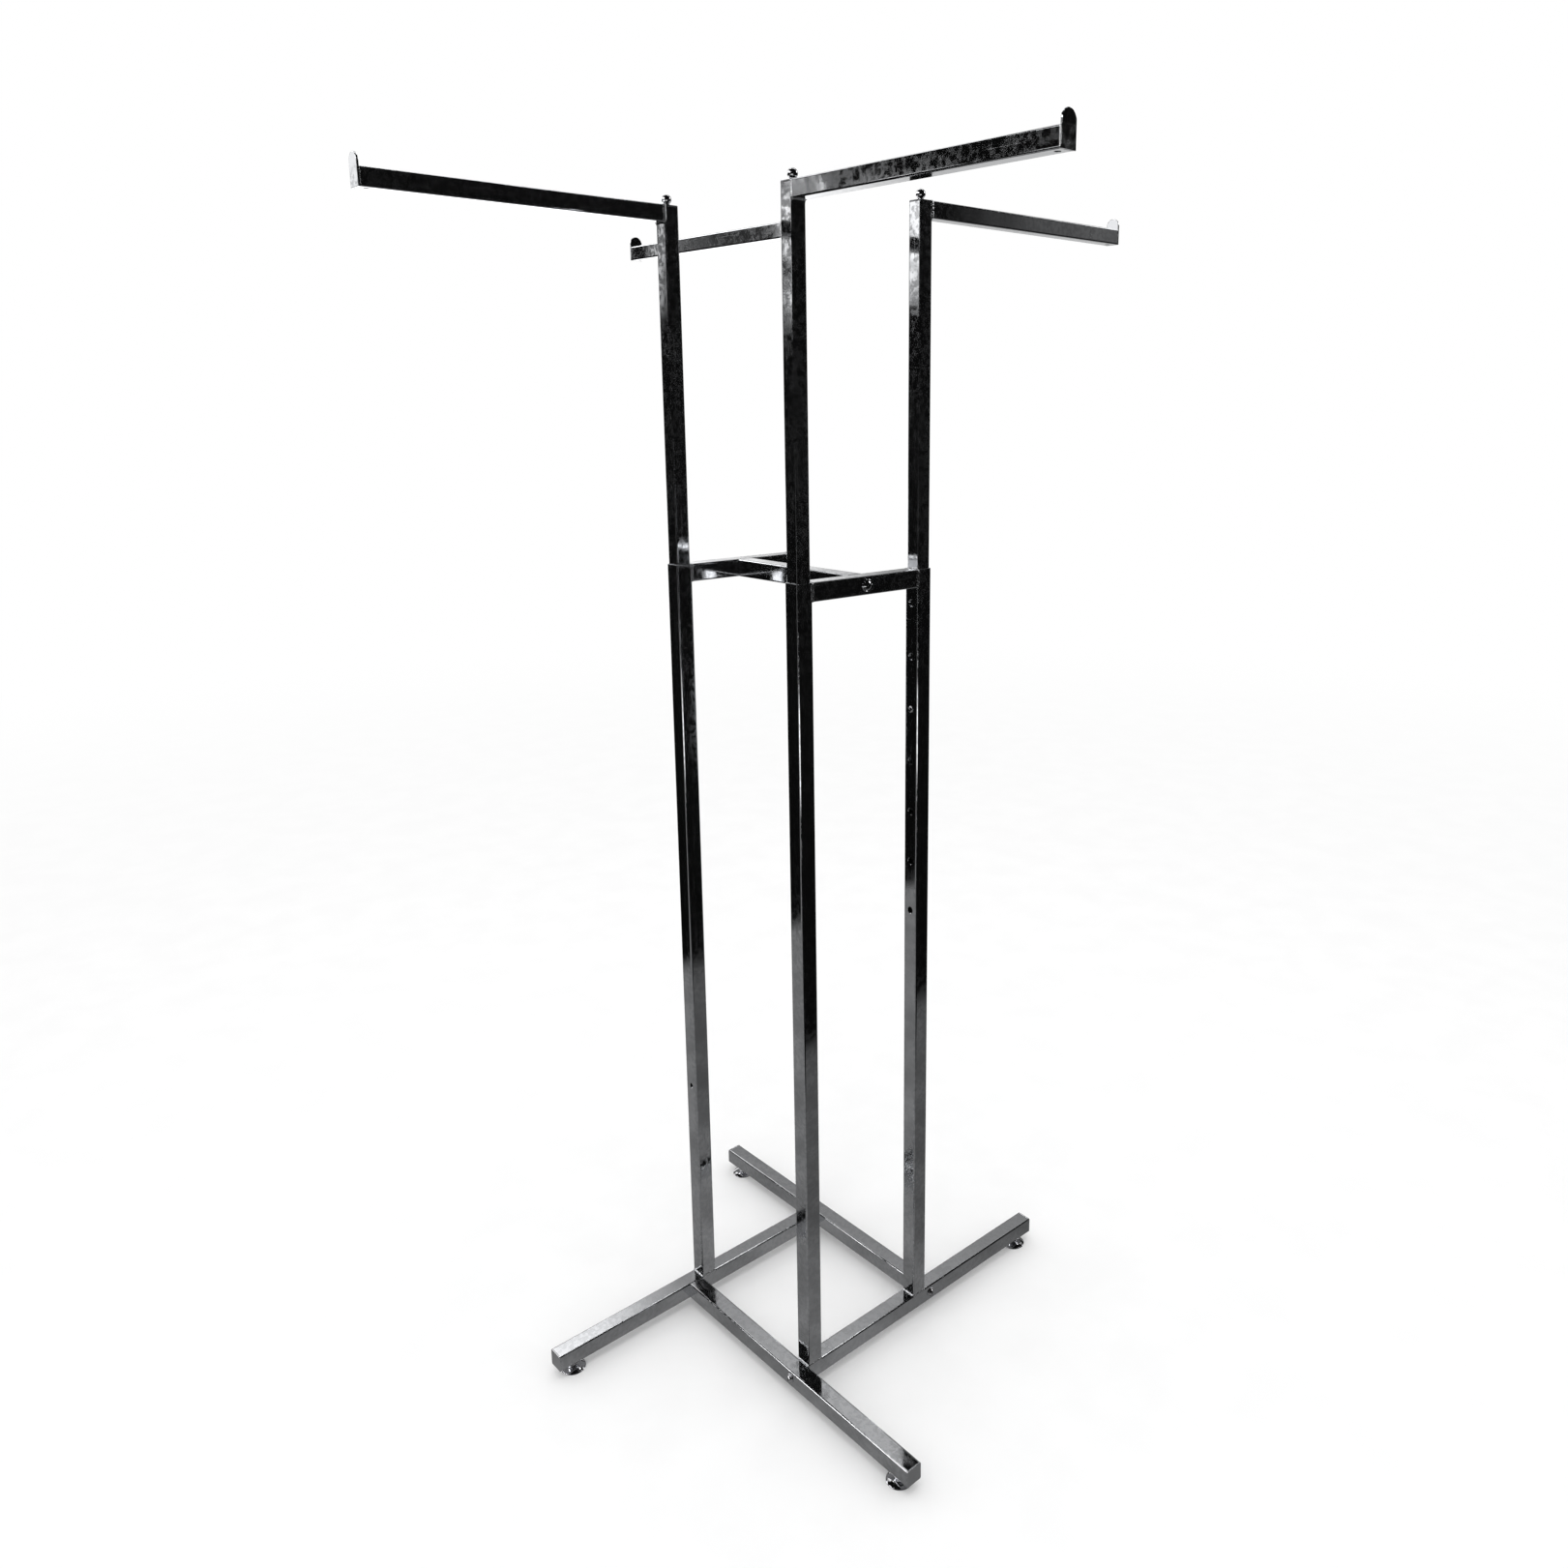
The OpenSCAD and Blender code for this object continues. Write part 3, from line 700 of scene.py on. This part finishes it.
def world_room():
    """Camera rays and soft light see white. Reflections see a dark room with lit patches.

    Patches are placed in degrees, as (from, to, softness). Side is leftwards from straight behind the
    rack, and up is above the horizon.
    """
    world = bpy.data.worlds.new("studio")
    bpy.context.scene.world = world
    t = Tree(world)
    ray = t.add("ShaderNodeTexCoord").outputs["Generated"]
    ahead, left, rise = turned(t, ray)
    side = t.maths("MULTIPLY", t.maths("ARCTAN2", left, ahead), 180 / math.pi)
    up = t.maths("MULTIPLY", t.maths("ARCSINE", rise, 0.0), 180 / math.pi)
    patchy = t.noise_at(ray, 22.0, 4.0, 0.6)
    grid = t.add("ShaderNodeCombineXYZ", {"X": t.product(side, 3.2), "Y": t.product(up, 0.8)})
    runs = t.noise_at(grid.outputs[0], 1.0, 4.0, 0.65)

    def patch(sides, ups):
        return t.product(t.between(side, *sides), t.between(up, *ups))

    # behind the rack, brighter to the left, with a dark band along the horizon
    backdrop = t.product(patch((-42, 42, 10), (-20, 12, 4)), t.ramp(side, -4, 12, 0.24, 2.0),
        t.maths("SUBTRACT", 1.0, t.between(up, -5, 5, 3.5)))
    # high behind the rack, brighter to the left and with height
    ceiling = t.product(patch((-46, 46, 16), (31, 47, 3)), t.ramp(up, 36, 43, 0.25, 0.48),
        t.ramp(side, 10.5, 15.5, 1, 3))
    # on the left: two even windows, a narrow even strip, and three uneven bands
    windows = t.total(patch((63, 71, 1), (3, 14, 1.5)), patch((94.5, 99, 1), (5.6, 8.8, 0.6)))
    smooth_strip = t.product(0.8, patch((76.95, 77.35, 0.12), (5.2, 9, 1.8)))
    streaks = t.product(patch((82.2, 84.2, 0.3), (3.8, 9.5, 0.4)), t.ramp(runs, 0.5, 0.55, 0.0, 1.3))
    cloudy = t.product(patch((86.5, 90, 0.5), (4.9, 8.8, 0.4)), t.ramp(patchy, 0.4, 0.54, 0.08, 1.3))
    dusty = t.product(patch((78.2, 81.6, 0.4), (5.4, 8, 0.5)), t.ramp(patchy, 0.4, 0.6, 0.01, 0.07))
    # on the right: one faint patch
    glow = t.product(0.11, t.ramp(side, -91.5, -83.5), t.ramp(side, -78, -73, 1, 0),
        t.between(up, 5, 8.7, 1.2))
    # lamps: a tube light high up, a slanted one on the left, and one on each side
    lean = t.total(side, t.product(up, 0.6))
    tube_light = patch((-52, 52, 5), (58, 62, 1.5))
    slanted = t.product(t.between(lean, 106, 150, 1.5), t.between(up, 16, 30, 2))
    side_pair = t.product(t.between(t.maths("ABSOLUTE", side, 0.0), 58, 72, 3), t.between(up, 16, 32, 3))
    lamps = t.product(LAMP, t.total(tube_light, slanted, side_pair))
    level = t.total(backdrop, ceiling, windows, smooth_strip, streaks, cloudy, dusty, glow, lamps, DARK)
    seen = t.add("ShaderNodeBackground", {"Color": (1, 1, 1, 1), "Strength": 1.0})
    room = t.add("ShaderNodeBackground", {"Color": (1, 1, 1, 1), "Strength": level})
    glossy = t.add("ShaderNodeLightPath").outputs["Is Glossy Ray"]
    mix = t.add("ShaderNodeMixShader", {0: glossy, 1: seen.outputs[0], 2: room.outputs[0]})
    t.add("ShaderNodeOutputWorld", {"Surface": mix.outputs[0]})


def pale_floor():
    """A pale floor that runs out into the backdrop. Reflections see a painted glow on it, an emission for
    reflection rays only: a lit strip by the rack, brighter patches behind and in front, and the dark beyond
    it.
    """
    rim = [(40 * math.cos(math.pi * n / 48), 40 * math.sin(math.pi * n / 48), 0) for n in range(96)]
    floor = from_lists("studio_floor", rim, [tuple(range(96))])
    material = bpy.data.materials.new("floor_pale")
    t = Tree(material)
    place = t.add("ShaderNodeNewGeometry").outputs["Position"]
    x, y, _ = t.parts(place)
    ahead, left, _ = turned(t, place)
    far = t.add("ShaderNodeVectorMath", {0: place}, operation="LENGTH").outputs["Value"]
    mottle = t.noise_at(place, 9.0, 4.0)
    # painted light: a glowing strip round the rack, brighter towards -X and -Y, seen only in reflections
    painted_lit_strip = t.product(t.between(x, -1.12, 0.86, 0.10), t.ramp(t.total(x, y), 0.1, 0.7, 0.18, 0.09),
        t.ramp(mottle, 0.3, 0.7, 0.8, 1.2))
    sideways = t.maths("ABSOLUTE", left, 0.0)
    reach = t.maths("MAXIMUM", ahead, 0.01)
    # painted glow far behind the rack, brighter to the left, seen only in reflections
    behind = t.product(t.between(ahead, 5.0, 17.0, 2.0),
        t.ramp(t.maths("DIVIDE", sideways, reach), 0.8, 1.0, 1, 0),
        t.ramp(t.maths("DIVIDE", left, reach), -0.07, 0.21, 0.55, 2.0))
    # painted glow in a band in front of the rack, seen only in reflections
    front = t.product(t.between(ahead, -4.2, -3.2, 0.5), t.ramp(sideways, 1.5, 2.0, 1.6, 0))
    level = t.total(t.maths("MAXIMUM", painted_lit_strip, t.maths("MAXIMUM", behind, front)), DARK)
    paint = t.add("ShaderNodeBsdfDiffuse", {"Color": t.blend(t.ramp(mottle, 0.3, 0.7), (0.93, 0.93, 0.93),
        (0.95, 0.95, 0.95))})
    paper = t.add("ShaderNodeEmission", {"Color": (1, 1, 1, 1), "Strength": 1.0})
    seen = t.add("ShaderNodeMixShader", {0: t.ramp(far, 1.6, 6.0), 1: paint.outputs[0], 2: paper.outputs[0]})
    # painted reflection: the floor glows with this emission for reflection rays only
    painted_reflection_glow = t.add("ShaderNodeEmission", {"Color": (1, 1, 1, 1), "Strength": level})
    glossy = t.add("ShaderNodeLightPath").outputs["Is Glossy Ray"]
    mix = t.add("ShaderNodeMixShader", {0: glossy, 1: seen.outputs[0], 2: painted_reflection_glow.outputs[0]})
    t.add("ShaderNodeOutputMaterial", {"Surface": mix.outputs[0]})
    floor.data.materials.append(material)


def soft_box():
    light = bpy.data.lights.new("overhead", "AREA")
    light.size = 1.6
    light.energy = 14
    lamp = bpy.data.objects.new("overhead", light)
    lamp.location = (0.2, -0.3, 3.4)
    lamp.visible_glossy = False
    bpy.context.scene.collection.objects.link(lamp)


world_room()
pale_floor()
soft_box()
bpy.context.scene.view_settings.view_transform = "Standard"
